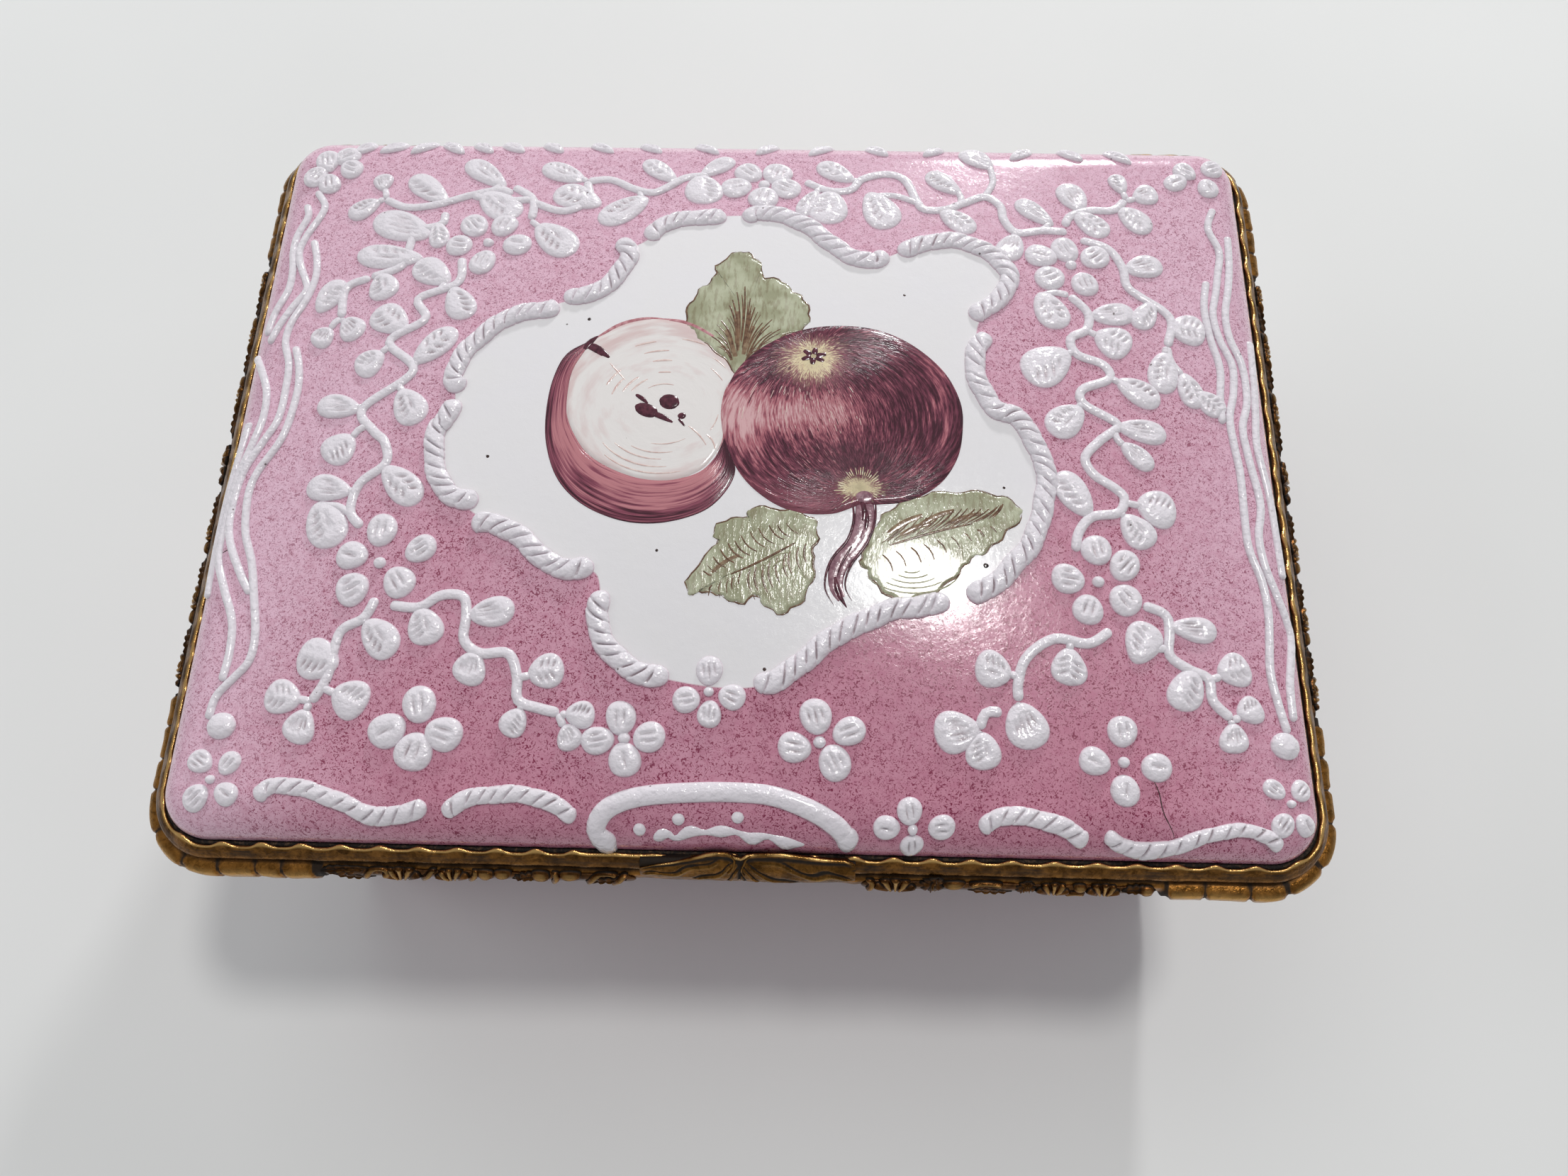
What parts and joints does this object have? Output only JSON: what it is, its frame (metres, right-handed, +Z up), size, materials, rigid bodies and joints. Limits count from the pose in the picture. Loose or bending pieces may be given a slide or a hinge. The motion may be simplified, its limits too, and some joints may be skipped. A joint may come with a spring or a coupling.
{
  "type": "enamelled lidded box",
  "caption": "Rectangular enamelled table box with a cushion-shaped lid on a rear hinge, gilt metal mounts, a thumb piece, and raised white flowers round a fruit panel.",
  "frame": {"origin": "middle of the flat bottom", "axes": "+X to the right along the front, +Y from the front to the hinge, +Z up through the lid"},
  "size_m": [0.0902, 0.0688, 0.0405],
  "materials": {
    "pink_enamel": "gloss enamel",
    "gilt_metal": "worn gilding",
    "dark_cement": "matt",
    "pin_steel": "drawn wire"
  },
  "bodies": {
    "base": {"base_shell": "pink_enamel", "base_cement": "dark_cement", "base_bezel": "gilt_metal", "base_lip": "gilt_metal", "base_girdle": "gilt_metal", "front_spray_left": "gilt_metal", "front_spray_right": "gilt_metal", "side_spray_left": "gilt_metal", "side_spray_right": "gilt_metal", "base_knuckle_1": "gilt_metal", "base_knuckle_2": "gilt_metal", "base_knuckle_3": "gilt_metal", "hinge_pin": "pin_steel", "pin_plug_left": "gilt_metal", "pin_plug_right": "gilt_metal"},
    "lid": {"lid_shell": "pink_enamel", "lid_cement": "dark_cement", "lid_bezel": "gilt_metal", "lid_knuckle_1": "gilt_metal", "lid_knuckle_2": "gilt_metal", "thumb_piece": "gilt_metal"}
  },
  "joints": [
    {"name": "lid_hinge", "type": "hinge", "parent": "base", "child": "lid", "pos_m": [0, 0.0335, 0.0309], "axis": [-1, 0, 0], "range_deg": [0, 100]}
  ]
}
